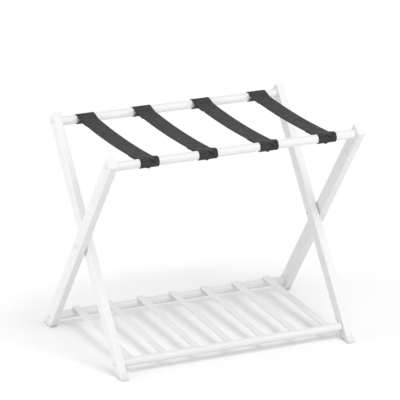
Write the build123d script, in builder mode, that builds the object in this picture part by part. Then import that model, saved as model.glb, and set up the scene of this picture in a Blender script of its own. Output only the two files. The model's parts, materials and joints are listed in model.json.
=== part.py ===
"""Folding luggage rack: two tube frames crossing like scissors, webbing on top, a slatted shelf below.

Units are millimetres. X runs along the rails, -Y is the front, +Z is up, the floor is Z = 0 and the
origin is the middle of the footprint.
"""

import os
from math import asin, atan2, cos, degrees, hypot, radians, sin, sqrt, tan

from build123d import *

os.makedirs("parts", exist_ok=True)

# Overall stance, measured at the rail axes.
rack_width = 624.0
top_rail_half_depth = 182.0
top_rail_height = 495.0
low_rail_half_depth = 170.0
low_rail_height = 28.0

# Leg tube, a flat rectangle set on edge.
leg_thick = 18.0
leg_depth = 32.0
leg_wall = 1.2
leg_corner = 2.5
leg_overhang = 15.0
frame_gap = 2.0

# Round rail tube and the plug in each end of it.
rail_radius = 10.0
rail_wall = 1.5
plug_length = 26.0
plug_clearance = 0.05

# Screws through the legs into the rails.
screw_radius = 3.0
screw_reach = 20.0
head_radius = 7.0
head_height = 3.6
head_rim = 0.6
head_flat_radius = 3.0
socket_radius = 2.1
socket_depth = 1.6
shank_clearance = 0.05

# Pivot stack at the crossing.
pivot_radius = 4.0
pivot_head_radius = 7.0
pivot_head_height = 3.3
pivot_flat_radius = 3.4
pivot_socket_radius = 2.5
pivot_socket_depth = 2.2
pivot_thread_radius = 3.0
sleeve_head_radius = 5.6
sleeve_head_height = 3.4
sleeve_floor = 4.0
sleeve_setback = 1.0
bolt_tip_gap = 2.0
spacer_radius = 12.0
running_gap = 0.2

# Plastic ends of the legs.
cap_lip = 3.0
cap_round = 2.0
cap_plug_depth = 10.0
cap_clearance = 0.1
foot_height = 15.0
foot_lip = 0.3
foot_round = 1.2
foot_plug_depth = 7.5

# Shelf of flat bars welded to the front lower rail.
slat_count = 7
slat_margin = 28.0
slat_width = 18.0
slat_thick = 5.0
slat_edge = 1.4
slat_end_bevel = 1.0
slat_overrun = 5.0
slat_rest_gap = 0.3
washer_radius = 9.0
washer_thick = 1.5
shoulder_radius = 4.0

# Webbing straps, sewn into a loop round each top rail.
strap_count = 4
strap_margin_left = 39.3
strap_margin_right = 29.2
second_strap_slip = -4.0
strap_width = 44.5
strap_thick = 1.6
strap_clearance = 0.3
loop_throat = 28.0
seam_length = 32.0
strap_screw_radius = 1.9
strap_screw_reach = 8.0
strap_head_radius = 4.0
strap_head_height = 1.7
strap_head_round = 1.3

# Sizes that follow from the ones above.
rise = top_rail_height - low_rail_height
run = top_rail_half_depth + low_rail_half_depth
lean = degrees(atan2(run, rise))
pivot_height = top_rail_height - rise * top_rail_half_depth / run
top_reach = hypot(top_rail_half_depth, top_rail_height - pivot_height)

outer_face = rack_width / 2
outer_mid = outer_face - leg_thick / 2
outer_inside = outer_face - leg_thick
inner_face = outer_inside - frame_gap
inner_mid = inner_face - leg_thick / 2
inner_inside = inner_face - leg_thick

plug_radius = rail_radius - rail_wall - plug_clearance
shelf_rail_half = inner_inside - washer_thick - running_gap
slat_pitch = 2 * (inner_inside - slat_margin) / (slat_count - 1)
slat_rise = degrees(asin((rail_radius + slat_thick / 2 + slat_rest_gap) / (2 * low_rail_half_depth)))
slat_length = 2 * low_rail_half_depth * cos(radians(slat_rise)) + slat_overrun
loop_radius = rail_radius + strap_clearance
loop_outside = loop_radius + strap_thick
strap_span = 2 * inner_inside - strap_margin_left - strap_margin_right
strap_pitch = (strap_span - strap_width) / (strap_count - 1)
strap_starts = [strap_margin_left - inner_inside + strap_pitch * i for i in range(strap_count)]
strap_starts[1] += second_strap_slip
sides = {"left": -1, "right": 1}


def save(part, name):
    """Name a finished piece and write it as a file of its own."""
    part.label = name
    export_step(part, f"parts/{name}.step")


def leg_plane(x_mid, back):
    """Plane square to a leg at the pivot height; back is 1 where the top leans to the rear."""
    return Plane(
        origin=(x_mid, 0, pivot_height),
        x_dir=(1, 0, 0),
        z_dir=(0, back * sin(radians(lean)), cos(radians(lean))),
    )


def side_plane(x, y, z, side):
    """Plane through an axis that runs along X; its local Y points out of the rack on that side."""
    return Plane(origin=(x, y, z), x_dir=(0, 0, 1), z_dir=(0, side, 0))


def out_plane(x, y, z, side):
    """Plane facing out of the rack on one side."""
    return Plane(origin=(x, y, z), x_dir=(0, 1, 0), z_dir=(side, 0, 0))


# Legs: a tube square at the top and cut level where the foot begins.
frames = {"inner": (inner_mid, 1), "outer": (outer_mid, -1)}
for frame, (x_mid, back) in frames.items():
    for side_name, side in sides.items():
        along = leg_plane(side * x_mid, back)
        top_end = along.offset(top_reach + leg_overhang)
        with BuildPart() as leg:
            with BuildSketch(top_end):
                RectangleRounded(leg_thick, leg_depth, leg_corner)
                RectangleRounded(
                    leg_thick - 2 * leg_wall,
                    leg_depth - 2 * leg_wall,
                    leg_corner - leg_wall,
                    mode=Mode.SUBTRACT,
                )
            extrude(amount=-(top_reach + leg_overhang + 2 * pivot_height))
            split(bisect_by=Plane.XY.offset(foot_height), keep=Keep.TOP)
            with Locations(out_plane(side * x_mid, 0, pivot_height, side)):
                Hole(radius=pivot_radius + shank_clearance)
            with Locations(out_plane(side * x_mid, back * top_rail_half_depth, top_rail_height, side)):
                Hole(radius=screw_radius + shank_clearance)
            low_bore = shoulder_radius if frame == "inner" else screw_radius
            with Locations(out_plane(side * x_mid, -back * low_rail_half_depth, low_rail_height, side)):
                Hole(radius=low_bore + shank_clearance)
        save(leg.part, f"{frame}_leg_{side_name}")

        # Top cap: a rounded lip the size of the tube over a plug that slides into it.
        with BuildPart() as cap:
            with BuildSketch(top_end):
                RectangleRounded(leg_thick, leg_depth, leg_corner)
            extrude(amount=cap_lip)
            fillet(cap.faces().sort_by(Axis(top_end.origin, top_end.z_dir))[-1].edges(), radius=cap_round)
            with BuildSketch(top_end):
                RectangleRounded(
                    leg_thick - 2 * (leg_wall + cap_clearance),
                    leg_depth - 2 * (leg_wall + cap_clearance),
                    leg_corner - leg_wall,
                )
            extrude(amount=-cap_plug_depth)
        save(cap.part, f"{frame}_cap_{side_name}")

        # Foot: a block that carries the tube's outline on to a level sole, with a plug up inside the tube.
        slope = (0, back * tan(radians(lean)), 1)
        stretch = 1 / cos(radians(lean))
        floor_y = -back * pivot_height * tan(radians(lean))
        joint_y = floor_y + back * foot_height * tan(radians(lean))
        with BuildPart() as foot:
            with BuildSketch(Plane.XY):
                with Locations((side * x_mid, floor_y)):
                    RectangleRounded(
                        leg_thick + 2 * foot_lip,
                        (leg_depth + 2 * foot_lip) * stretch,
                        leg_corner + foot_lip,
                    )
            extrude(amount=foot_height * stretch, dir=slope)
            fillet(foot.faces().sort_by(Axis.Z)[0].edges(), radius=foot_round)
            with BuildSketch(Plane.XY.offset(foot_height)):
                with Locations((side * x_mid, joint_y)):
                    RectangleRounded(
                        leg_thick - 2 * (leg_wall + cap_clearance),
                        (leg_depth - 2 * (leg_wall + cap_clearance)) * stretch,
                        leg_corner - leg_wall,
                    )
            extrude(amount=foot_plug_depth * stretch, dir=slope)
        save(foot.part, f"{frame}_foot_{side_name}")


def tube(half_length, y, z):
    """Round rail tube along X."""
    with BuildPart() as rail:
        with BuildSketch(Plane.YZ.offset(-half_length)):
            with Locations((y, z)):
                Circle(rail_radius)
                Circle(rail_radius - rail_wall, mode=Mode.SUBTRACT)
        extrude(amount=2 * half_length)
    return rail.part


def end_plug(half_length, y, z, side, bore):
    """Bored plug inside one end of a rail."""
    with BuildPart() as plug:
        with BuildSketch(out_plane(side * half_length, y, z, side)):
            Circle(plug_radius)
            Circle(bore + shank_clearance, mode=Mode.SUBTRACT)
        extrude(amount=-plug_length)
    return plug.part


def head_arc(head, flat, top, way):
    """Crown of a button head, from its rim to the flat round the socket; way is 1 outwards."""
    middle = ((head + flat) / 2 + (top - head_rim) * 0.2, way * (top * 0.8))
    return ThreePointArc((head, way * head_rim), middle, (flat, way * top))


def button_screws(face, y, z, shank, reach, head, flat, top, socket, on_sides=(-1, 1)):
    """Button-head screws on the named sides of the rack, head outside, hexagon socket in it."""
    with BuildPart() as screws:
        for side in on_sides:
            with BuildSketch(side_plane(side * face, y, z, side)):
                with BuildLine():
                    Polyline((0, -reach), (shank, -reach), (shank, 0), (head, 0), (head, head_rim))
                    head_arc(head, flat, top, 1)
                    Polyline((flat, top), (0, top), (0, -reach))
                make_face()
            revolve(axis=Axis((0, y, z), (1, 0, 0)))
            with BuildSketch(out_plane(side * (face + top), y, z, side)):
                RegularPolygon(radius=socket[0], side_count=6)
            extrude(amount=-socket[1], mode=Mode.SUBTRACT)
    return screws.part


rail_head = (head_radius, head_flat_radius, head_height, (socket_radius, socket_depth))
pivot_socket = (pivot_socket_radius, pivot_socket_depth)
pivot_head = (pivot_head_radius, pivot_flat_radius, pivot_head_height, pivot_socket)

# Fixed rails: tube, two plugs and two screws each.
fixed_rails = {
    "rear_top": (inner_inside, inner_face, top_rail_half_depth, top_rail_height),
    "front_top": (outer_inside, outer_face, -top_rail_half_depth, top_rail_height),
    "rear_lower": (outer_inside, outer_face, low_rail_half_depth, low_rail_height),
}
for rail_name, (half_length, face, y, z) in fixed_rails.items():
    with BuildPart() as rail:
        add(tube(half_length, y, z))
        if rail_name == "front_top":
            for start in strap_starts:
                with Locations(Plane(origin=(start + strap_width / 2, y, z - rail_radius), z_dir=(0, 0, -1))):
                    Hole(radius=strap_screw_radius + shank_clearance, depth=rail_radius)
    save(rail.part, f"{rail_name}_rail")
    for side_name, side in sides.items():
        save(end_plug(half_length, y, z, side, screw_radius), f"{rail_name}_plug_{side_name}")
    screws = button_screws(face, y, z, screw_radius, leg_thick + screw_reach, *rail_head)
    save(screws, f"{rail_name}_screws")

# Pivot stack: a flanged sleeve from inside, a bolt from outside, a ring between the legs.
sleeve_length = outer_face - inner_inside - sleeve_setback
thread_bore = pivot_thread_radius + shank_clearance
for side_name, side in sides.items():
    flange = side_plane(side * inner_inside, 0, pivot_height, side)
    with BuildPart() as sleeve:
        with BuildSketch(flange):
            with BuildLine():
                Polyline(
                    (thread_bore, sleeve_floor),
                    (thread_bore, sleeve_length),
                    (pivot_radius, sleeve_length),
                    (pivot_radius, 0),
                    (sleeve_head_radius, 0),
                    (sleeve_head_radius, -head_rim),
                )
                head_arc(sleeve_head_radius, pivot_flat_radius, sleeve_head_height, -1)
                Polyline(
                    (pivot_flat_radius, -sleeve_head_height),
                    (0, -sleeve_head_height),
                    (0, sleeve_floor),
                    (thread_bore, sleeve_floor),
                )
            make_face()
        revolve(axis=Axis((0, 0, pivot_height), (1, 0, 0)))
        with BuildSketch(out_plane(side * (inner_inside - sleeve_head_height), 0, pivot_height, -side)):
            RegularPolygon(radius=pivot_socket_radius, side_count=6)
        extrude(amount=-pivot_socket_depth, mode=Mode.SUBTRACT)
    save(sleeve.part, f"pivot_sleeve_{side_name}")

    with BuildPart() as spacer:
        with BuildSketch(out_plane(side * inner_face, 0, pivot_height, side)):
            Circle(spacer_radius)
            Circle(pivot_radius + shank_clearance, mode=Mode.SUBTRACT)
        extrude(amount=frame_gap - running_gap)
    save(spacer.part, f"pivot_spacer_{side_name}")

    seat = outer_face + running_gap
    bolt_reach = seat - inner_inside - sleeve_floor - bolt_tip_gap
    bolt = button_screws(seat, 0, pivot_height, pivot_thread_radius, bolt_reach, *pivot_head, [side])
    save(bolt, f"pivot_bolt_{side_name}")

# Shelf rail, turning on two shoulder screws held in the inner legs.
shelf_y = -low_rail_half_depth
save(tube(shelf_rail_half, shelf_y, low_rail_height), "front_lower_rail")
for side_name, side in sides.items():
    save(
        end_plug(shelf_rail_half, shelf_y, low_rail_height, side, shoulder_radius),
        f"shelf_bush_{side_name}",
    )
    with BuildPart() as washer:
        with BuildSketch(out_plane(side * inner_inside, shelf_y, low_rail_height, side)):
            Circle(washer_radius)
            Circle(shoulder_radius + shank_clearance, mode=Mode.SUBTRACT)
        extrude(amount=-washer_thick)
    save(washer.part, f"shelf_washer_{side_name}")
shelf_reach = leg_thick + screw_reach
shelf_screws = button_screws(inner_face, shelf_y, low_rail_height, shoulder_radius, shelf_reach, *rail_head)
save(shelf_screws, "shelf_screws")

# Slats: each starts in a saddle cut to the rail's round and rises slightly to rest on the rear rail.
for index in range(slat_count):
    slat_x = slat_pitch * (index - (slat_count - 1) / 2)
    with BuildPart() as slat:
        root = Plane(
            origin=(slat_x, shelf_y, low_rail_height),
            x_dir=(1, 0, 0),
            z_dir=(0, cos(radians(slat_rise)), sin(radians(slat_rise))),
        )
        with BuildSketch(root):
            RectangleRounded(slat_width, slat_thick, slat_edge)
        extrude(amount=slat_length)
        far_end = slat.faces().sort_by(Axis.Y)[-1]
        chamfer(far_end.edges(), length=slat_end_bevel)
        with Locations(Plane(origin=(slat_x, shelf_y, low_rail_height), z_dir=(1, 0, 0))):
            Cylinder(rail_radius, 2 * slat_width, mode=Mode.SUBTRACT)
    save(slat.part, f"slat_{index + 1}")

# Straps: a band taut between the rail axes and a teardrop loop at each end, its tail sewn under the band.
for index, start in enumerate(strap_starts):
    band_half = top_rail_half_depth - loop_throat
    with BuildPart() as strap:
        with BuildSketch(Plane.YZ.offset(start)):
            with Locations((0, top_rail_height + strap_thick / 2)):
                Rectangle(2 * band_half, strap_thick)
            for inward, y in ((1, -top_rail_half_depth), (-1, top_rail_half_depth)):
                with Locations((y + inward * (loop_throat + seam_length / 2), top_rail_height - strap_thick / 2)):
                    Rectangle(seam_length, strap_thick)
                for radius, mode in ((loop_outside, Mode.ADD), (loop_radius, Mode.SUBTRACT)):
                    tip = loop_throat * radius / loop_radius
                    touch_y = y + inward * radius**2 / tip
                    touch_rise = radius * sqrt(1 - (radius / tip) ** 2)
                    upper = (touch_y, top_rail_height + touch_rise)
                    lower = (touch_y, top_rail_height - touch_rise)
                    throat = (y + inward * tip, top_rail_height)
                    with BuildLine():
                        Line(throat, upper)
                        ThreePointArc(upper, (y - inward * radius, top_rail_height), lower)
                        Line(lower, throat)
                    make_face(mode=mode)
        extrude(amount=strap_width)
        hole_spot = (start + strap_width / 2, -top_rail_half_depth, top_rail_height - loop_outside)
        with Locations(Plane(origin=hole_spot, z_dir=(0, 0, -1))):
            Hole(radius=strap_screw_radius + shank_clearance, depth=2 * strap_thick)
    save(strap.part, f"strap_{index + 1}")

# Small screws from below, holding the front loops to their rail.
with BuildPart() as strap_screws:
    for start in strap_starts:
        seat_x = start + strap_width / 2
        seat_z = top_rail_height - loop_outside
        with BuildSketch(Plane(origin=(seat_x, -top_rail_half_depth, seat_z), z_dir=(0, 0, -1))):
            Circle(strap_head_radius)
        extrude(amount=strap_head_height)
        crown = strap_screws.faces().sort_by_distance((seat_x, -top_rail_half_depth, 0))[0]
        fillet(crown.edges(), strap_head_round)
        with BuildSketch(Plane(origin=(seat_x, -top_rail_half_depth, seat_z), z_dir=(0, 0, 1))):
            Circle(strap_screw_radius)
        extrude(amount=strap_screw_reach)
save(strap_screws.part, "strap_screws")
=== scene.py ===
# %% [markdown]
# # Dressing a folding luggage rack
# The rack is a white tube frame that closes like scissors, with four black webbing bands on top and a
# slatted shelf below. The tubes, screws and plastic ends arrive as finished solids. This lesson gives
# them their finishes, weaves and sews the bands, and sets up the studio.

# %% Load the frame
import json
import math

import bmesh
import bpy
from mathutils import Matrix, Vector


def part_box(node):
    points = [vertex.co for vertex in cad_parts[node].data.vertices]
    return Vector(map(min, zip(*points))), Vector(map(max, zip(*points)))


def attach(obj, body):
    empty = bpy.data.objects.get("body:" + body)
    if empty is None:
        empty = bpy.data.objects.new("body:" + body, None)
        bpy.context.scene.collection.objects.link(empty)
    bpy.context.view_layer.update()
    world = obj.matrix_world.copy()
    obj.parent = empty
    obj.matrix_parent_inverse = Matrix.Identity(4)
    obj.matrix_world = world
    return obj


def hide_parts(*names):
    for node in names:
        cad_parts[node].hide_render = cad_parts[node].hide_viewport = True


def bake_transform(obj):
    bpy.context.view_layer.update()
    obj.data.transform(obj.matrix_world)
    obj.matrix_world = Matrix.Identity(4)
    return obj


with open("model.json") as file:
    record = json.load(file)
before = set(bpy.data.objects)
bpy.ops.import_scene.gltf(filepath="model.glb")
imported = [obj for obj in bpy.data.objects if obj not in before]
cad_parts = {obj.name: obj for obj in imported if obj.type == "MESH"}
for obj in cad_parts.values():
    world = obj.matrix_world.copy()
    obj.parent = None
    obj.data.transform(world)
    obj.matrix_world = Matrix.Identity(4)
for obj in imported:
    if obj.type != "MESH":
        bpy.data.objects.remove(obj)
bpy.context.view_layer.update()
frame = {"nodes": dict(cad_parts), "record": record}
nodes = frame["nodes"]

# %% [markdown]
# ## Camera first
# The photograph was taken from the front left, a little above, with a very long lens: the rails stay
# nearly parallel. A camera seven metres away with a narrow angle gives the same flat perspective, and
# setting it first means that every later choice can be judged from the right place.

# %% Place the camera
camera_data = bpy.data.cameras.new("photo_camera")
camera = bpy.data.objects.new("photo_camera", camera_data)
bpy.context.scene.collection.objects.link(camera)
camera.location = (-2.71546, -5.94642, 2.51000)
turn_left, look_down = -0.42766, 0.32290  # radians
gaze = Vector((
    -math.sin(turn_left) * math.cos(look_down),
    math.cos(turn_left) * math.cos(look_down),
    -math.sin(look_down),
))
camera.rotation_mode = "QUATERNION"
camera.rotation_quaternion = gaze.to_track_quat("-Z", "Y")
focal_length, photo_width = 3010.63, 400  # in pixels of the photograph
camera_data.sensor_width = 36.0
camera_data.lens = focal_length / photo_width * camera_data.sensor_width
camera_data.clip_start, camera_data.clip_end = 0.1, 100.0
bpy.context.scene.camera = camera
print("lens", round(camera_data.lens, 1), "mm")

# %% [markdown]
# ## A few hands for the node editor
# Every finish below is a small node tree. These helpers add a node, fill in its values and draw a
# wire, so that the recipes read as what goes where.


# %% Node helpers
def place(tree, kind, values=None, **settings):
    """Add a node, set its options, then fill its input sockets by name or number."""
    node = tree.nodes.new(kind)
    for key, value in settings.items():
        setattr(node, key, value)
    for key, value in (values or {}).items():
        node.inputs[key].default_value = value
    return node


def wire(tree, start, end):
    """Join an output socket to an input socket."""
    tree.links.new(start, end)


def calc(tree, operation, first, second=None):
    """A Math node whose inputs are sockets or plain numbers."""
    node = place(tree, "ShaderNodeMath", operation=operation)
    for index, value in enumerate((first, second)):
        if isinstance(value, (int, float)):
            node.inputs[index].default_value = value
        elif value is not None:
            wire(tree, value, node.inputs[index])
    return node.outputs[0]


def new_group(name, inputs, outputs):
    """A shader node group with named float or vector inputs and float outputs."""
    tree = bpy.data.node_groups.new(name, "ShaderNodeTree")
    for socket, (kind, value) in inputs.items():
        tree.interface.new_socket(socket, in_out="INPUT", socket_type=kind).default_value = value
    for socket in outputs:
        tree.interface.new_socket(socket, in_out="OUTPUT", socket_type="NodeSocketFloat")
    return tree, tree.nodes.new("NodeGroupInput"), tree.nodes.new("NodeGroupOutput")


def use_group(tree, group, **values):
    """Place a group in a material; spaces in socket names are written as underscores."""
    node = tree.nodes.new("ShaderNodeGroup")
    node.node_tree = group
    for key, value in values.items():
        node.inputs[key.replace("_", " ")].default_value = value
    return node


def new_material(name, **constants):
    """A material with a Principled shader; constants go straight onto the shader's own sockets."""
    material = bpy.data.materials.new(name)
    material.use_nodes = True
    tree = material.node_tree
    shader = tree.nodes["Principled BSDF"]
    for key, value in constants.items():
        shader.inputs[key.replace("_", " ")].default_value = value
    return material, tree, shader


def colour_mix(tree, mask, low, high):
    """Blend two colours by a mask from 0 to 1; the low one may also be a socket."""
    node = place(tree, "ShaderNodeMix", data_type="RGBA")
    if isinstance(low, tuple):
        node.inputs["A"].default_value = (*low, 1.0)
    else:
        wire(tree, low, node.inputs["A"])
    node.inputs["B"].default_value = (*high, 1.0)
    wire(tree, mask, node.inputs["Factor"])
    return node.outputs["Result"]


def spread(tree, mask, low, high):
    """Stretch a mask from 0 to 1 onto another range."""
    node = place(tree, "ShaderNodeMapRange", {"To Min": low, "To Max": high})
    wire(tree, mask, node.inputs["Value"])
    return node.outputs["Result"]


def relief(tree, shader, height, strength, depth):
    """Feed a height into the shader's Normal through a Bump node."""
    bump = place(tree, "ShaderNodeBump", {"Strength": strength, "Distance": depth})
    wire(tree, height, bump.inputs["Height"])
    wire(tree, bump.outputs["Normal"], shader.inputs["Normal"])


# %% [markdown]
# ## The skin of a coated surface
# Powder coat is baked paint. Close up it is not flat: it has a soft orange-peel wave about a
# millimetre and a half across, and its gloss drifts slowly along a tube. Moulded plastic has a finer,
# sharper grain. One group serves both, with its own scales in each material.

# %% Group: coat skin
coat_skin, group_in, group_out = new_group(
    "coat_skin",
    {
        "Peel Scale": ("NodeSocketFloat", 650.0),
        "Drift Scale": ("NodeSocketFloat", 9.0),
        "Grain Scale": ("NodeSocketFloat", 3200.0),
        "Grain Share": ("NodeSocketFloat", 0.2),
    },
    ("Height", "Drift", "Speckle"),
)
where = coat_skin.nodes.new("ShaderNodeTexCoord")
peel = place(coat_skin, "ShaderNodeTexNoise", {"Detail": 1.5, "Roughness": 0.45})
drift = place(coat_skin, "ShaderNodeTexNoise", {"Detail": 3.0, "Roughness": 0.55})
grain = place(coat_skin, "ShaderNodeTexNoise", {"Detail": 1.0, "Roughness": 0.5})
for noise, socket in ((peel, "Peel Scale"), (drift, "Drift Scale"), (grain, "Grain Scale")):
    wire(coat_skin, where.outputs["Object"], noise.inputs["Vector"])
    wire(coat_skin, group_in.outputs[socket], noise.inputs["Scale"])
fine = calc(coat_skin, "MULTIPLY", grain.outputs["Fac"], group_in.outputs["Grain Share"])
bumps = calc(coat_skin, "ADD", peel.outputs["Fac"], fine)
wire(coat_skin, bumps, group_out.inputs["Height"])
wire(coat_skin, drift.outputs["Fac"], group_out.inputs["Drift"])
wire(coat_skin, grain.outputs["Fac"], group_out.inputs["Speckle"])
print("group", coat_skin.name, "has", len(coat_skin.nodes), "nodes")

# %% [markdown]
# ## Signs of use
# A rack that is opened, loaded and put away collects fine rub marks that run along its tubes. They are
# a noise stretched until it becomes streaks, cut off high so that only a few remain. The mask is weak
# on purpose: this is a cared-for piece.

# %% Group: rub marks
rub_marks, group_in, group_out = new_group(
    "rub_marks",
    {
        "Stretch": ("NodeSocketVector", (40.0, 400.0, 400.0)),
        "Cut": ("NodeSocketFloat", 0.66),
        "Weight": ("NodeSocketFloat", 0.5),
    },
    ("Mask",),
)
where = rub_marks.nodes.new("ShaderNodeTexCoord")
scaled = place(rub_marks, "ShaderNodeVectorMath", operation="MULTIPLY")
wire(rub_marks, where.outputs["Object"], scaled.inputs[0])
wire(rub_marks, group_in.outputs["Stretch"], scaled.inputs[1])
streak = place(rub_marks, "ShaderNodeTexNoise", {"Scale": 1.0, "Detail": 3.0, "Roughness": 0.6})
wire(rub_marks, scaled.outputs[0], streak.inputs["Vector"])
patch = place(rub_marks, "ShaderNodeTexNoise", {"Scale": 14.0, "Detail": 2.0})
wire(rub_marks, where.outputs["Object"], patch.inputs["Vector"])
over = calc(rub_marks, "SUBTRACT", streak.outputs["Fac"], group_in.outputs["Cut"])
lifted = place(rub_marks, "ShaderNodeMapRange", {"From Min": 0.0, "From Max": 0.08})
wire(rub_marks, over, lifted.inputs["Value"])
patchy = calc(rub_marks, "MULTIPLY", lifted.outputs["Result"], patch.outputs["Fac"])
weighted = calc(rub_marks, "MULTIPLY", patchy, group_in.outputs["Weight"])
wire(rub_marks, weighted, group_out.inputs["Mask"])
print("group", rub_marks.name, "has", len(rub_marks.nodes), "nodes")


# %% [markdown]
# ## White powder coat
# Legs, rails and slats share the coat, but each is handled differently, so each gets its own streak
# direction and amount: along the rails where bands slide, and along the slats where things are set
# down and dragged off. The white itself stays well under full brightness, so that light can shape it.


# %% Coat materials
def powder_coat(name, white, shade, stretch, cut, weight):
    """Satin white coat: slow drift in tone and gloss, orange peel, a few grey rub marks."""
    material, tree, shader = new_material(name, IOR=1.5, Specular_IOR_Level=0.45)
    skin = use_group(tree, coat_skin)
    rub = use_group(tree, rub_marks, Stretch=stretch, Cut=cut, Weight=weight)
    base = colour_mix(tree, skin.outputs["Drift"], shade, white)
    worn = colour_mix(tree, rub.outputs["Mask"], base, (0.50, 0.50, 0.49))
    wire(tree, worn, shader.inputs["Base Color"])
    gloss = spread(tree, skin.outputs["Drift"], 0.34, 0.50)
    wire(tree, calc(tree, "ADD", gloss, rub.outputs["Mask"]), shader.inputs["Roughness"])
    relief(tree, shader, skin.outputs["Height"], strength=0.22, depth=0.0003)
    return material


leg_coat = powder_coat(
    "leg_coat", white=(0.86, 0.86, 0.86), shade=(0.81, 0.81, 0.815),
    stretch=(260, 90, 90), cut=0.70, weight=0.35,
)
rail_coat = powder_coat(
    "rail_coat", white=(0.86, 0.86, 0.86), shade=(0.81, 0.81, 0.815),
    stretch=(50, 420, 420), cut=0.68, weight=0.45,
)
slat_coat = powder_coat(
    "slat_coat", white=(0.87, 0.87, 0.87), shade=(0.83, 0.83, 0.835),
    stretch=(420, 45, 420), cut=0.64, weight=0.55,
)
print("coats", [coat.name for coat in (leg_coat, rail_coat, slat_coat)])

# %% [markdown]
# ## Coated screw heads
# The screws are coated white with the frame. Their hexagon sockets are painted darker, as painted shade
# in
# the recess: mid grey in the screws, nearly black in the deep sockets of the sleeves at the crossing,
# where bare steel adds to it. The sleeves' broad heads are also a little paler.
# A distance from the screw's own axis, worked out in a small group, paints that darker spot; the axis is
# the middle of each node's box.

# %% Group: painted socket shade
socket_spot, group_in, group_out = new_group(
    "socket_spot",
    {
        "Axis Y": ("NodeSocketFloat", 0.0),
        "Axis Z": ("NodeSocketFloat", 0.0),
        "Radius": ("NodeSocketFloat", 0.002),
    },
    ("Mask",),
)
where = socket_spot.nodes.new("ShaderNodeTexCoord")
split = socket_spot.nodes.new("ShaderNodeSeparateXYZ")
wire(socket_spot, where.outputs["Object"], split.inputs[0])
squares = []
for axis in ("Y", "Z"):
    off = calc(socket_spot, "SUBTRACT", split.outputs[axis], group_in.outputs[f"Axis {axis}"])
    squares.append(calc(socket_spot, "MULTIPLY", off, off))
off_axis = calc(socket_spot, "SQRT", calc(socket_spot, "ADD", *squares))
ratio = calc(socket_spot, "DIVIDE", off_axis, group_in.outputs["Radius"])
soft_rim = {"From Min": 0.9, "From Max": 1.1, "To Min": 1.0, "To Max": 0.0}
spot = place(socket_spot, "ShaderNodeMapRange", soft_rim)
wire(socket_spot, ratio, spot.inputs["Value"])
wire(socket_spot, spot.outputs["Result"], group_out.inputs["Mask"])
print("group", socket_spot.name, "has", len(socket_spot.nodes), "nodes")

# %% [markdown]
# Every screw node needs its own axis, so every one gets its own material. All of them come out of one
# recipe, with one set of values for the sleeves and one for the other screws.


# %% Screw finishes
def screw_finish(name, node_name, radius, socket_shade_tone, white):
    """Coat of the given white with small chips, and painted shade in the socket on the screw's axis."""
    low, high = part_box(node_name)
    middle = (low + high) / 2
    shade = white - 0.06
    material, tree, shader = new_material(name, IOR=1.5, Specular_IOR_Level=0.5)
    skin = use_group(tree, coat_skin, Drift_Scale=60.0)
    chips = use_group(tree, rub_marks, Stretch=(600, 600, 600), Cut=0.62, Weight=0.6)
    hole = use_group(tree, socket_spot, Axis_Y=middle.y, Axis_Z=middle.z, Radius=radius)
    base = colour_mix(tree, skin.outputs["Drift"], (shade, shade, shade), (white, white, white))
    worn = colour_mix(tree, chips.outputs["Mask"], base, (0.42, 0.42, 0.41))
    # Painted shade: the socket on the screw's axis is darkened, and in the sleeves it also stands for
    # bare steel.
    head = colour_mix(tree, hole.outputs["Mask"], worn, (socket_shade_tone, socket_shade_tone, socket_shade_tone))
    wire(tree, head, shader.inputs["Base Color"])
    wire(tree, spread(tree, hole.outputs["Mask"], 0.32, 0.6), shader.inputs["Roughness"])
    relief(tree, shader, skin.outputs["Height"], strength=0.2, depth=0.0002)
    return material


slot_of_node = {entry["node"]: entry["material_slot"] for entry in frame["record"]["subparts"]}
# The socket tone is painted shade: mid grey in the screws, nearly black in the sleeves.
sleeve_look = {"radius": 0.0023, "socket_shade_tone": 0.03, "white": 0.96}
screw_look = {"radius": 0.0019, "socket_shade_tone": 0.26, "white": 0.87}
screw_coats = {}
for name, slot in slot_of_node.items():
    if slot == "white_hardware":
        look = sleeve_look if "sleeve" in name else screw_look
        screw_coats[name] = screw_finish(f"coat_{name}", name, **look)
print("screw finishes", sorted(screw_coats))

# %% [markdown]
# ## Moulded plastic
# The leg caps and feet are injection moulded, with a fine eroded grain. The caps are slightly cooler and
# paler than the coat, and the feet a shade greyer, so that the joint with the tube shows. The feet get
# painted shade where they meet the floor, with a little floor grime in it: their lowest nine millimetres
# darken towards the sole. Height above the floor is simply the Z of the object coordinates.


# %% Plastic materials
def moulded_plastic(name, tone, deep, sole_shade=False):
    """Matt plastic with a fine grain; the last flag paints shade, with a little floor grime, at the
    bottom edge.
    """
    material, tree, shader = new_material(name, IOR=1.46, Specular_IOR_Level=0.4)
    skin = use_group(tree, coat_skin, Peel_Scale=2400.0, Grain_Scale=5200.0, Grain_Share=0.6)
    base = colour_mix(tree, skin.outputs["Drift"], deep, tone)
    if sole_shade:
        where = tree.nodes.new("ShaderNodeTexCoord")
        split = tree.nodes.new("ShaderNodeSeparateXYZ")
        wire(tree, where.outputs["Object"], split.inputs[0])
        # Painted shade where the foot meets the floor, with a little floor grime: darker over the lowest
        # nine millimetres.
        fade_up = {"From Min": 0.0005, "From Max": 0.009, "To Min": 0.5, "To Max": 0.0}
        near_floor = place(tree, "ShaderNodeMapRange", fade_up)
        wire(tree, split.outputs["Z"], near_floor.inputs["Value"])
        contact_shade = calc(tree, "MULTIPLY", near_floor.outputs["Result"], skin.outputs["Speckle"])
        base = colour_mix(tree, contact_shade, base, (0.30, 0.29, 0.27))
    wire(tree, base, shader.inputs["Base Color"])
    wire(tree, spread(tree, skin.outputs["Speckle"], 0.46, 0.64), shader.inputs["Roughness"])
    relief(tree, shader, skin.outputs["Height"], strength=0.35, depth=0.00012)
    return material


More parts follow.
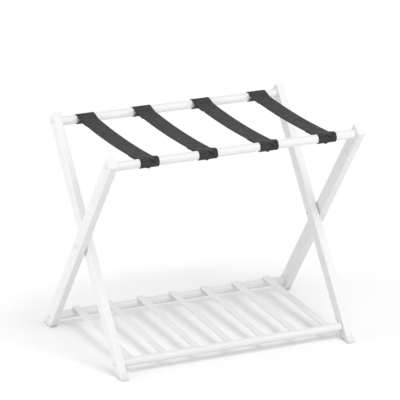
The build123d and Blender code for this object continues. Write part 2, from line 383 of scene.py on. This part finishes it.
cap_plastic = moulded_plastic("cap_plastic", tone=(0.89, 0.89, 0.895), deep=(0.85, 0.85, 0.86))
foot_plastic = moulded_plastic(
    "foot_plastic", tone=(0.81, 0.81, 0.81), deep=(0.77, 0.77, 0.77), sole_shade=True,
)
ring_nylon = moulded_plastic("ring_nylon", tone=(0.70, 0.70, 0.68), deep=(0.63, 0.63, 0.61))
plug_plastic = moulded_plastic("plug_plastic", tone=(0.05, 0.05, 0.05), deep=(0.035, 0.035, 0.035))
print("plastics", [plastic.name for plastic in (cap_plastic, foot_plastic, ring_nylon, plug_plastic)])

# %% [markdown]
# ## Black screw
# The small screws under the front loops are black oxide: dark, slightly metallic, with paler rubbed
# spots on the crown.

# %% Black screw material
screw_black, tree, shader = new_material("screw_black", Metallic=0.35)
skin = use_group(tree, coat_skin, Peel_Scale=1800.0, Drift_Scale=120.0)
rubbed = spread(tree, skin.outputs["Drift"], 0.0, 0.5)
oxide = colour_mix(tree, rubbed, (0.018, 0.018, 0.019), (0.06, 0.06, 0.06))
wire(tree, oxide, shader.inputs["Base Color"])
wire(tree, spread(tree, skin.outputs["Drift"], 0.35, 0.6), shader.inputs["Roughness"])
relief(tree, shader, skin.outputs["Height"], strength=0.2, depth=0.0001)
print("made", screw_black.name)

# %% [markdown]
# ## Dress the solids
# The record already says which finish each node belongs to. Rails, slats and legs share one slot there,
# so the node's own name picks between the three coats. The solid straps get a plain dark finish that
# nobody sees: the woven bands made below stand in for them.


# %% Give each node its finish
def coat_of(name):
    """The coat of a slat, a rail or a leg."""
    if name.startswith("slat"):
        return slat_coat
    return rail_coat if name.endswith("rail") else leg_coat


finish_of_slot = {
    "nylon": ring_nylon,
    "dark_plastic": plug_plastic,
    "black_steel": screw_black,
    "webbing": screw_black,
}
for name, node in nodes.items():
    slot = slot_of_node[name]
    if slot == "white_powder_coat":
        finish = coat_of(name)
    elif slot == "white_plastic":
        finish = foot_plastic if "foot" in name else cap_plastic
    elif slot == "white_hardware":
        finish = screw_coats[name]
    else:
        finish = finish_of_slot[slot]
    node.data.materials.clear()
    node.data.materials.append(finish)
print("dressed", len(nodes), "nodes")

# %% [markdown]
# ## Webbing weave
# Heavy webbing is often woven in a herringbone: slanting ridges that change direction in every lane, so
# that they meet in chevrons. On a UV map measured in metres, a triangle wave across the band pushes the
# ridges up and down, Floor counts them, and each ridge is a little dome made of a parabola. Beads along
# the ridge are the single yarns. The same height drives the bump, and it paints shade into the valleys
# and highlight onto the ridges.

# %% Group: herringbone
herringbone, group_in, group_out = new_group(
    "herringbone",
    {
        "Lane": ("NodeSocketFloat", 0.01115),
        "Ridge": ("NodeSocketFloat", 0.0026),
        "Slant": ("NodeSocketFloat", 0.5),
        "Yarn": ("NodeSocketFloat", 0.0011),
        "Width": ("NodeSocketFloat", 0.0445),
    },
    ("Height", "Tone", "Selvedge"),
)


def dome(tree, count):
    """A parabola over each whole step: 1 in its middle, 0 at both ends."""
    part = calc(tree, "SUBTRACT", calc(tree, "FRACT", count), 0.5)
    square = calc(tree, "MULTIPLY", part, part)
    return calc(tree, "SUBTRACT", 1.0, calc(tree, "MULTIPLY", square, 4.0))


uv = place(herringbone, "ShaderNodeUVMap", uv_map="weave")
split = herringbone.nodes.new("ShaderNodeSeparateXYZ")
wire(herringbone, uv.outputs["UV"], split.inputs[0])
across, along = split.outputs["X"], split.outputs["Y"]
lane = calc(herringbone, "DIVIDE", across, group_in.outputs["Lane"])
zigzag = calc(herringbone, "PINGPONG", across, group_in.outputs["Lane"])
slanted = calc(herringbone, "MULTIPLY", zigzag, group_in.outputs["Slant"])
pushed = calc(herringbone, "ADD", along, slanted)
ridge = calc(herringbone, "DIVIDE", pushed, group_in.outputs["Ridge"])
yarns = calc(herringbone, "DIVIDE", across, group_in.outputs["Yarn"])
beaded = spread(herringbone, dome(herringbone, yarns), 0.55, 1.0)
weave_height = calc(herringbone, "MULTIPLY", dome(herringbone, ridge), beaded)
wire(herringbone, weave_height, group_out.inputs["Height"])

# %% [markdown]
# No two ridges take the dye and the light alike, so each one, in each lane, gets its own brightness from
# a White Noise node that is fed with its two numbers. The selvedge is the last two millimetres at both
# edges, where the yarns turn back and lie tighter.

# %% Ridge by ridge
number = herringbone.nodes.new("ShaderNodeCombineXYZ")
wire(herringbone, calc(herringbone, "FLOOR", lane), number.inputs[0])
wire(herringbone, calc(herringbone, "FLOOR", ridge), number.inputs[1])
chance = place(herringbone, "ShaderNodeTexWhiteNoise", noise_dimensions="2D")
wire(herringbone, number.outputs[0], chance.inputs["Vector"])
dyed = spread(herringbone, chance.outputs["Value"], 0.15, 1.0)
# Painted highlight and shade: the weave height makes each ridge lighter and its valleys darker, scaled by
# that ridge's own dye.
wire(herringbone, calc(herringbone, "MULTIPLY", weave_height, dyed), group_out.inputs["Tone"])
other_edge = calc(herringbone, "SUBTRACT", group_in.outputs["Width"], across)
inset = calc(herringbone, "MINIMUM", across, other_edge)
fade_in = {"From Min": 0.0012, "From Max": 0.0024, "To Min": 1.0, "To Max": 0.0}
selvedge = place(herringbone, "ShaderNodeMapRange", fade_in)
wire(herringbone, inset, selvedge.inputs["Value"])
wire(herringbone, selvedge.outputs["Result"], group_out.inputs["Selvedge"])
print("group", herringbone.name, "has", len(herringbone.nodes), "nodes")

# %% [markdown]
# ## Webbing and thread
# The bands are charcoal rather than pure black, with a painted highlight on each ridge and painted shade
# in the valleys, and a trace of sheen gives the soft grey that woven nylon has at a low angle. The thread
# is the same colour but smoother.

# %% Webbing and thread materials
webbing, tree, shader = new_material(
    "webbing", Sheen_Weight=0.05, Sheen_Roughness=0.45, Specular_IOR_Level=0.22,
)
weave = use_group(tree, herringbone)
lint = use_group(tree, coat_skin, Peel_Scale=900.0, Drift_Scale=22.0)
# Painted highlight on the ridges and painted shade in the valleys, from the weave's height, with each
# ridge's own dye.
ridge_shading = colour_mix(tree, weave.outputs["Tone"], (0.008, 0.008, 0.009), (0.090, 0.090, 0.095))
faded = colour_mix(tree, spread(tree, lint.outputs["Drift"], 0.0, 0.15), ridge_shading, (0.070, 0.070, 0.074))
bound = calc(tree, "MULTIPLY", weave.outputs["Selvedge"], 0.6)
wire(tree, colour_mix(tree, bound, faded, (0.014, 0.014, 0.015)), shader.inputs["Base Color"])
wire(tree, spread(tree, weave.outputs["Height"], 0.92, 0.68), shader.inputs["Roughness"])
relief(tree, shader, weave.outputs["Height"], strength=0.8, depth=0.0005)

thread, tree, shader = new_material("thread", Sheen_Weight=0.1)
lay = place(tree, "ShaderNodeTexWave", {"Scale": 520.0, "Distortion": 1.5}, bands_direction="DIAGONAL")
where = tree.nodes.new("ShaderNodeTexCoord")
wire(tree, where.outputs["Object"], lay.inputs["Vector"])
twist = colour_mix(tree, lay.outputs["Fac"], (0.014, 0.014, 0.015), (0.05, 0.05, 0.053))
wire(tree, twist, shader.inputs["Base Color"])
wire(tree, spread(tree, lay.outputs["Fac"], 0.7, 0.5), shader.inputs["Roughness"])
relief(tree, shader, lay.outputs["Fac"], strength=0.4, depth=0.0001)
print("made", webbing.name, "and", thread.name)

# %% [markdown]
# ## Where the bands run
# A band starts under its own front end, goes round the front rail, crosses to the rear rail, goes round
# it and ends under itself again. From the side each loop is a teardrop: the two layers part at a tip and
# run as straight lines that just touch the circle round the rail. The angle of that touch follows from
# the circle's radius and the distance of the tip, which lies a little above the rail's axis.

# %% Measure the route
front_low, front_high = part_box("front_top_rail")
rear_low, rear_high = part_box("rear_top_rail")
front_axis = (front_low + front_high) / 2
rear_axis = (rear_low + rear_high) / 2
band_thick = 0.0015
half_layer = 0.0008  # from the face where band and tail meet to the middle of either
rail_slack = 0.0003
loop_radius = (front_high.z - front_low.z) / 2 + rail_slack + half_layer
tip_reach, tip_rise = 0.030, 0.0026
tip_angle = math.atan2(tip_rise, tip_reach)
touch = math.acos(loop_radius / math.hypot(tip_reach, tip_rise))
loop_turn = 2 * math.pi - 2 * touch
upper_touch, lower_touch = (
    (loop_radius * math.cos(angle), loop_radius * math.sin(angle))
    for angle in (tip_angle + touch, tip_angle - touch)
)
kink = tip_reach - 0.002  # from the rail's axis to where the two layers part
seam_length = 0.032
print("loop radius", round(loop_radius * 1000, 2), "mm, turn", round(math.degrees(loop_turn)), "degrees")

# %% [markdown]
# Webbing never lies quite flat: between its loops the band hangs through by a few millimetres. A
# parabola is close enough to the curve of a hanging band.

# %% The hang of the band
band_hang = 0.005


def layer(y, side):
    """Height of the band (side 1) or of the tail under it (side -1) at a place between the loops."""
    hang = band_hang * (1 - (y / (rear_axis.y - kink)) ** 2)
    return front_axis.z + tip_rise - hang + side * half_layer


print("lowest at", round(layer(0, 1) * 1000, 1), "mm")

# %% [markdown]
# ## Draw one band as a strip
# By hand this is one long extrusion: a plane at the tail, its leading edge pulled along the straight
# runs and spun round the rails. Where it hangs, it is pulled in short steps from height to height.


# %% Strip tools
def edit(obj, mode="EDGE"):
    """Enter edit mode on one object alone."""
    bpy.ops.object.select_all(action="DESELECT")
    bpy.context.view_layer.objects.active = obj
    obj.select_set(True)
    bpy.ops.object.mode_set(mode="EDIT")
    bpy.ops.mesh.select_mode(type=mode)


def select_edges(obj, test):
    """Select the edges whose two ends pass a test, and nothing else."""
    mesh = bmesh.from_edit_mesh(obj.data)
    bpy.ops.mesh.select_all(action="DESELECT")
    for edge in mesh.edges:
        edge.select_set(test(edge.verts[0].co, edge.verts[1].co))
    bmesh.update_edit_mesh(obj.data)


def pull(y, z, steps=1):
    """Extrude the selected edge along a straight run in equal steps."""
    for _ in range(steps):
        bpy.ops.mesh.extrude_region_move(TRANSFORM_OT_translate={"value": (0, y / steps, z / steps)})


def follow(start, end, side, steps):
    """Extrude the selected edge along the hanging part, on the upper or the lower layer."""
    stops = [start + (end - start) * i / steps for i in range(steps + 1)]
    for here, there in zip(stops, stops[1:]):
        pull(there - here, layer(there, side) - layer(here, side))


# %% [markdown]
# The plane that starts the strip is the first of the eight steps of the tail. From there the order is
# that of the real band: tail, loop, the long way across, loop, tail.

# %% The strip
seam_steps, run_steps, turn_steps, hang_steps = 8, 6, 24, 40
first_step = 0.004


def band_strip(name, x_low, x_high):
    """The band's middle surface, from the front tail round both rails to the rear tail."""
    bpy.ops.object.select_all(action="DESELECT")
    bpy.ops.mesh.primitive_plane_add(size=1.0, location=(0, 0, 0))
    obj = bpy.context.active_object
    obj.name = obj.data.name = name
    front_kink, rear_kink = front_axis.y + kink, rear_axis.y - kink
    tail_y = front_kink + seam_length
    second_y = tail_y - first_step
    edit(obj)
    bpy.ops.mesh.select_all(action="SELECT")
    bpy.ops.transform.resize(value=(x_high - x_low, first_step, 1))
    plane_middle = ((x_low + x_high) / 2, tail_y - first_step / 2, layer(second_y, -1))
    bpy.ops.transform.translate(value=plane_middle)
    select_edges(obj, lambda a, b: max(a.y, b.y) < tail_y - first_step * 0.9)
    lower_run = (kink - lower_touch[0], tip_rise - half_layer - lower_touch[1])
    upper_run = (kink - upper_touch[0], upper_touch[1] - tip_rise - half_layer)
    follow(second_y, front_kink, -1, seam_steps - 1)
    pull(-lower_run[0], -lower_run[1], run_steps)
    bpy.ops.mesh.spin(steps=turn_steps, angle=loop_turn, center=front_axis, axis=(1, 0, 0))
    pull(upper_run[0], -upper_run[1], run_steps)
    follow(front_kink, rear_kink, 1, hang_steps)
    pull(upper_run[0], upper_run[1], run_steps)
    bpy.ops.mesh.spin(steps=turn_steps, angle=loop_turn, center=rear_axis, axis=(1, 0, 0))
    pull(-lower_run[0], lower_run[1], run_steps)
    follow(rear_kink, rear_kink - seam_length, -1, seam_steps)
    return obj


# %% [markdown]
# ## Soften the strip and measure along it
# Four creases remain, where the two layers part into each loop: a bevel turns them into small bends.
# Subdividing only the rungs of this ladder cuts the strip lengthwise into eight. The weave must follow
# the cloth round the rails, so each vertex learns how far along the band it lies: the code walks down one
# column from the tail and adds up the steps.

# %% Soften, cut and unroll
bend_size, bend_steps, lengthwise_cuts = 0.0035, 4, 7


def rung(a, b):
    """True for an edge that runs straight across the band."""
    return abs(a.y - b.y) < 1e-7 and abs(a.z - b.z) < 1e-7


def crease(a, b):
    """True for the four rungs where the two layers part."""
    off_y = min(abs(a.y - front_axis.y - kink), abs(a.y - rear_axis.y + kink))
    off_z = abs(abs(a.z - front_axis.z - tip_rise) - half_layer)
    return rung(a, b) and off_y < 1e-6 and off_z < 1e-6


def soften_and_cut(obj):
    """Round the four creases, then cut the strip lengthwise."""
    select_edges(obj, crease)
    bpy.ops.mesh.bevel(offset=bend_size, segments=bend_steps, affect="EDGES")
    select_edges(obj, rung)
    bpy.ops.mesh.subdivide(number_cuts=lengthwise_cuts)
    bpy.ops.object.mode_set(mode="OBJECT")


def unroll(obj, x_low):
    """A UV map in metres: across the band, and along it from the front tail."""
    mesh = bmesh.new()
    mesh.from_mesh(obj.data)
    edge_x = min(v.co.x for v in mesh.verts)
    column = [v for v in mesh.verts if abs(v.co.x - edge_x) < 1e-6]
    here = max((v for v in column if v.co.y < 0 and len(v.link_edges) == 2), key=lambda v: v.co.y)
    run, seen, reached = {}, set(), 0.0
    while here:
        run[round(here.co.y, 5), round(here.co.z, 5)] = reached
        seen.add(here)
        after = [e.other_vert(here) for e in here.link_edges]
        after = [v for v in after if abs(v.co.x - edge_x) < 1e-6 and v not in seen]
        reached += (after[0].co - here.co).length if after else 0.0
        here = after[0] if after else None
    weave_map = mesh.loops.layers.uv.new("weave")
    for face in mesh.faces:
        for loop in face.loops:
            co = loop.vert.co
            loop[weave_map].uv = (co.x - x_low, run[round(co.y, 5), round(co.z, 5)])
    mesh.to_mesh(obj.data)
    mesh.free()
    return reached


# %% [markdown]
# ## Make the first band
# Solidify gives the strip its millimetre and a half, evenly to both sides of the drawn surface, and a
# small bevel rounds the woven edge.


# %% First band
def apply_modifier(obj, kind, **settings):
    """Add a modifier to one object and apply it at once."""
    bpy.ops.object.select_all(action="DESELECT")
    bpy.context.view_layer.objects.active = obj
    obj.select_set(True)
    modifier = obj.modifiers.new(kind.lower(), kind)
    for key, value in settings.items():
        setattr(modifier, key, value)
    bpy.ops.object.modifier_apply(modifier=modifier.name)


lows = [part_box(f"strap_{n}")[0].x for n in (1, 2, 3, 4)]
band_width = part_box("strap_1")[1].x - lows[0]
first_band = band_strip("band_1", lows[0], lows[0] + band_width)
soften_and_cut(first_band)
band_length = unroll(first_band, lows[0])
edit(first_band, "FACE")
bpy.ops.mesh.select_all(action="SELECT")
bpy.ops.mesh.normals_make_consistent(inside=False)
bpy.ops.object.mode_set(mode="OBJECT")
apply_modifier(first_band, "SOLIDIFY", thickness=band_thick, offset=0.0)
apply_modifier(
    first_band, "BEVEL", width=0.00045, segments=2, limit_method="ANGLE", angle_limit=math.radians(60),
)
bpy.ops.object.shade_smooth_by_angle(angle=math.radians(40))
first_band.data.materials.append(webbing)
print("band", round(band_width * 1000, 1), "x", round(band_length * 1000, 1), "mm")
print("faces of the band", len(first_band.data.polygons))

# %% [markdown]
# ## Copy the band
# The other three bands are copies moved along the rail, each with its own mesh.


# %% Other bands
def copy_along(obj, name, shift):
    """A copy with its own mesh, moved inside the mesh so that the object stays at the origin."""
    twin = obj.copy()
    twin.data = obj.data.copy()
    twin.name = twin.data.name = name
    bpy.context.scene.collection.objects.link(twin)
    twin.data.transform(Matrix.Translation(shift))
    return twin


bands = [first_band]
for n in (2, 3, 4):
    bands.append(copy_along(first_band, f"band_{n}", (lows[n - 1] - lows[0], 0, 0)))
print("bands at", [round((x + band_width / 2) * 1000, 1) for x in lows], "mm")

# %% [markdown]
# ## Sew the loops
# Each loop is closed by a rectangle of stitches through band and tail. One stitch is a small rounded
# bar that dips at both ends, where the thread goes down into the cloth. An Array repeats it into a row;
# four rows make the rectangle, seen on top of the band and again under the tail.

# %% Stitch tools
stitch_size = (0.0027, 0.0009, 0.0007)
stitch_pitch = 0.0032
stitch_shank = 0.0009  # what lies further from the middle than this dips into the cloth
stitch_dip = 0.00025
corner_gap = 0.004


def stitch_row(middle, span, along_x, face_up, climb):
    """A row of stitches with its middle on a point; climb is its slope along Y."""
    count = max(2, round(span / stitch_pitch))
    bpy.ops.object.select_all(action="DESELECT")
    bpy.ops.mesh.primitive_uv_sphere_add(segments=8, ring_count=6, radius=0.5, location=(0, 0, 0))
    obj = bpy.context.active_object
    edit(obj, "VERT")
    bpy.ops.mesh.select_all(action="SELECT")
    bpy.ops.transform.resize(value=stitch_size)
    mesh = bmesh.from_edit_mesh(obj.data)
    for vert in mesh.verts:
        vert.select_set(abs(vert.co.x) > stitch_shank)
    bmesh.update_edit_mesh(obj.data)
    bpy.ops.transform.translate(value=(0, 0, -stitch_dip if face_up else stitch_dip))
    bpy.ops.object.mode_set(mode="OBJECT")
    if not along_x:
        obj.data.transform(Matrix.Rotation(math.pi / 2, 4, "Z"))
    step = (stitch_pitch, 0, 0) if along_x else (0, stitch_pitch, stitch_pitch * climb)
    obj.data.transform(Matrix.Translation(Vector(middle) - Vector(step) * (count - 1) / 2))
    apply_modifier(
        obj, "ARRAY", count=count, use_relative_offset=False, use_constant_offset=True,
        constant_offset_displace=step,
    )
    return obj


def join_all(pieces):
    """Join several objects into the first one."""
    bpy.ops.object.select_all(action="DESELECT")
    for piece in pieces:
        piece.select_set(True)
    bpy.context.view_layer.objects.active = pieces[0]
    bpy.ops.object.join()
    return pieces[0]


def seam_box(name, x_mid, y_mid, half_wide, half_long):
    """Rows of stitches on top of the band and under its tail, joined into one seam."""
    rows = []
    near, far = y_mid - half_long, y_mid + half_long
    for face in (1, -1):
        near_z, far_z = (layer(y, face) + face * band_thick / 2 for y in (near, far))
        climb = (far_z - near_z) / (far - near)
        for y, z in ((near, near_z), (far, far_z)):
            rows.append(stitch_row((x_mid, y, z), 2 * half_wide, True, face > 0, climb))
        for x in (x_mid - half_wide, x_mid + half_wide):
            middle = (x, y_mid, (near_z + far_z) / 2)
            rows.append(stitch_row(middle, 2 * half_long - corner_gap, False, face > 0, climb))
    seam = join_all(rows)
    seam.name = seam.data.name = name
    bpy.ops.object.shade_smooth()
    seam.data.materials.append(thread)
    return seam


# %% [markdown]
# Both ends of the first band are sewn, and the other bands get copies. When the rack closes, the rear end
# goes with one frame and the front end with the other.

# %% Sew all eight loops
seam_inset, seam_half = 0.0035, 0.0125
first_seams = [
    seam_box(f"seam_{end}_1", lows[0] + band_width / 2, y, band_width / 2 - seam_inset, seam_half)
    for end, y in (
        ("rear", rear_axis.y - kink - seam_length / 2),
        ("front", front_axis.y + kink + seam_length / 2),
    )
]
for n, band in enumerate(bands, 1):
    shift = (lows[n - 1] - lows[0], 0, 0)
    rear, front = first_seams if n == 1 else [
        copy_along(seam, seam.name.replace("1", str(n)), shift) for seam in first_seams
    ]
    for piece in (rear, front, band):
        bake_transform(piece)
    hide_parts(f"strap_{n}")
print("sewn", 2 * len(bands), "loops,", len(first_seams[0].data.polygons), "faces a seam")

# %% [markdown]
# ## Weld the slats
# Each slat is welded to the front lower rail along its upper and its lower edge. A weld is a row of small
# puddles that overlap like fallen coins: one flattened, tipped ball, an Array of it, and a fine remesh
# that melts the row into one skin. The tilt of the shelf comes from the record, where the resting place
# on the slats gives its normal.

# %% Where slat and rail meet
rest = next(mount for mount in frame["record"]["mounts"] if mount["name"] == "shelf_rest")
slat_up = Vector(rest["axis"])
slat_run = Vector((0, slat_up.z, -slat_up.y))
rail_low, rail_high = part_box("front_lower_rail")
shelf_axis = (rail_low + rail_high) / 2
rail_radius = (rail_high.z - rail_low.z) / 2
half_slat = (Vector(rest["pos_m"]) - shelf_axis).dot(slat_up)
root = slat_run * math.sqrt(rail_radius**2 - half_slat**2)
print("slats are", round(2 * half_slat * 1000, 2), "mm thick")
print("they meet the rail", round(root.length * 1000, 2), "mm from its axis")

# %% [markdown]
# The pair of beads on the first slat is modelled, and the other slats get copies. They ride on the shelf,
# because they turn with it.

# %% Weld beads
puddle_size, puddle_tip = (0.0021, 0.0039, 0.0036), 0.5
puddle_pitch, puddle_count = 0.0013, 11


def weld_bead(middle):
    """A row of overlapping puddles along X, melted together, with its middle on a point."""
    bpy.ops.object.select_all(action="DESELECT")
    bpy.ops.mesh.primitive_uv_sphere_add(segments=16, ring_count=10, radius=0.5, location=(0, 0, 0))
    obj = bpy.context.active_object
    edit(obj, "VERT")
    bpy.ops.mesh.select_all(action="SELECT")
    bpy.ops.transform.resize(value=puddle_size)
    bpy.ops.transform.rotate(value=puddle_tip, orient_axis="Y", center_override=(0, 0, 0))
    half_row = Vector((puddle_pitch * (puddle_count - 1) / 2, 0, 0))
    bpy.ops.transform.translate(value=middle - half_row)
    bpy.ops.object.mode_set(mode="OBJECT")
    apply_modifier(
        obj, "ARRAY", count=puddle_count, use_relative_offset=False, use_constant_offset=True,
        constant_offset_displace=(puddle_pitch, 0, 0),
    )
    apply_modifier(obj, "REMESH", mode="VOXEL", voxel_size=0.0003, use_smooth_shade=True)
    return obj


slats = [name for name in nodes if name.startswith("slat_")]
slat_mids = [(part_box(name)[0].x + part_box(name)[1].x) / 2 for name in slats]
first_root = Vector((slat_mids[0], *shelf_axis.yz)) + root
first_weld = join_all([weld_bead(first_root + slat_up * way * half_slat) for way in (1, -1)])
first_weld.name = first_weld.data.name = "weld_1"
first_weld.data.materials.append(rail_coat)
welds = [first_weld] + [
    copy_along(first_weld, name.replace("slat", "weld"), (mid - slat_mids[0], 0, 0))
    for name, mid in list(zip(slats, slat_mids))[1:]
]
for weld in welds:
    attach(weld, "shelf")
print("welds", [weld.name for weld in welds], len(first_weld.data.polygons), "faces each")

# %% [markdown]
# ## Studio
# A white product shot has one trap: light strong enough to make the floor white also burns the white
# object. So the lamps stay gentle, and the floor and the surroundings are lifted to white for the camera
# and for reflections only: there the floor's colour is paler and glows a little. It stays a diffuse
# surface, and so it keeps the soft shadow. Further out it fades into plain white, so that no horizon
# shows.


# %% Floor
def seen_directly(tree):
    """1 for camera, mirror and glass rays, 0 for light that bounces."""
    path = tree.nodes.new("ShaderNodeLightPath")
    rays = calc(tree, "MAXIMUM", path.outputs["Is Camera Ray"], path.outputs["Is Glossy Ray"])
    return calc(tree, "MAXIMUM", rays, path.outputs["Is Transmission Ray"])


bpy.ops.object.select_all(action="DESELECT")
bpy.ops.mesh.primitive_plane_add(size=60.0, location=(0, 0, -0.0002))
floor = bpy.context.active_object
floor.name = "studio_floor"
floor_paint = bpy.data.materials.new("floor_paint")
floor_paint.use_nodes = True
tree = floor_paint.node_tree
tree.nodes.remove(tree.nodes["Principled BSDF"])
matt = place(tree, "ShaderNodeBsdfDiffuse")
glow = place(tree, "ShaderNodeEmission", {"Color": (1.0, 1.0, 1.0, 1.0)})
direct = seen_directly(tree)
wire(tree, colour_mix(tree, direct, (0.88, 0.88, 0.88), (1.0, 1.0, 1.0)), matt.inputs["Color"])
wire(tree, calc(tree, "MULTIPLY", direct, 0.02), glow.inputs["Strength"])
near_floor = tree.nodes.new("ShaderNodeAddShader")
wire(tree, matt.outputs[0], near_floor.inputs[0])
wire(tree, glow.outputs[0], near_floor.inputs[1])

# %% [markdown]
# The fade is an oval round the rack: the distance from the middle, with Y counted a little more than X,
# goes through a smooth step. It counts only for rays that see the floor directly.

# %% Fade of the floor
where = tree.nodes.new("ShaderNodeTexCoord")
oval = place(tree, "ShaderNodeVectorMath", {1: (1.0, 1.3, 1.0)}, operation="MULTIPLY")
wire(tree, where.outputs["Object"], oval.inputs[0])
distance = place(tree, "ShaderNodeVectorMath", operation="LENGTH")
wire(tree, oval.outputs[0], distance.inputs[0])
fade_range = {"From Min": 0.42, "From Max": 0.66}
fade_out = place(tree, "ShaderNodeMapRange", fade_range, interpolation_type="SMOOTHSTEP")
wire(tree, distance.outputs["Value"], fade_out.inputs["Value"])
far_floor = place(tree, "ShaderNodeEmission", {"Color": (1.0, 1.0, 1.0, 1.0), "Strength": 1.0})
faded_floor = tree.nodes.new("ShaderNodeMixShader")
wire(tree, calc(tree, "MULTIPLY", fade_out.outputs["Result"], direct), faded_floor.inputs[0])
wire(tree, near_floor.outputs[0], faded_floor.inputs[1])
wire(tree, far_floor.outputs[0], faded_floor.inputs[2])
wire(tree, faded_floor.outputs[0], tree.nodes["Material Output"].inputs["Surface"])
floor.data.materials.append(floor_paint)
print("floor paint has", len(tree.nodes), "nodes")

# %% [markdown]
# The surroundings are the World: an even white that lights the rack at two thirds of its strength, and
# shows itself at full white.

# %% Surroundings
world = bpy.data.worlds.new("studio")
bpy.context.scene.world = world
world.use_nodes = True
tree = world.node_tree
sky = tree.nodes["Background"]
sky.inputs["Color"].default_value = (1.0, 1.0, 1.0, 1.0)
wire(tree, spread(tree, seen_directly(tree), 0.66, 1.0), sky.inputs["Strength"])
print("world", world.name)

# %% [markdown]
# ## Lamps
# Three soft panels shape what the even surroundings light. The key hangs high in front. A wide one stands
# off to the left, so that the near legs are a little brighter than the far ones. A small one lies low on
# the right and looks up at the far legs, whose leaning front faces the key can't reach; its narrow beam
# keeps the light there. None shows itself to the camera.


# %% Lamps
def soft_panel(name, place_at, aim_at, size, watts, beam=math.pi):
    """A square area lamp that looks at a point; beam is the angle that its light spreads over."""
    lamp = bpy.data.lights.new(name, "AREA")
    lamp.size = size
    lamp.energy = watts
    lamp.spread = beam
    obj = bpy.data.objects.new(name, lamp)
    bpy.context.scene.collection.objects.link(obj)
    obj.location = place_at
    obj.rotation_mode = "QUATERNION"
    obj.rotation_quaternion = (Vector(aim_at) - Vector(place_at)).to_track_quat("-Z", "Y")
    obj.visible_camera = False
    return obj


panels = [
    soft_panel("key_panel", (0.7, -3.0, 4.2), (0, 0, 0.2), size=3.0, watts=101.0),
    soft_panel("side_panel", (-2.2, 0.1, 0.45), (-0.2, 0, 0.25), size=1.4, watts=15.5),
    soft_panel(
        "low_panel", (0.9, -1.0, 0.11), (0.30, -0.1, 0.46), size=0.2, watts=0.25, beam=math.radians(70),
    ),
]
bpy.context.scene.view_settings.view_transform = "Standard"
print("lamps", [panel.name for panel in panels])
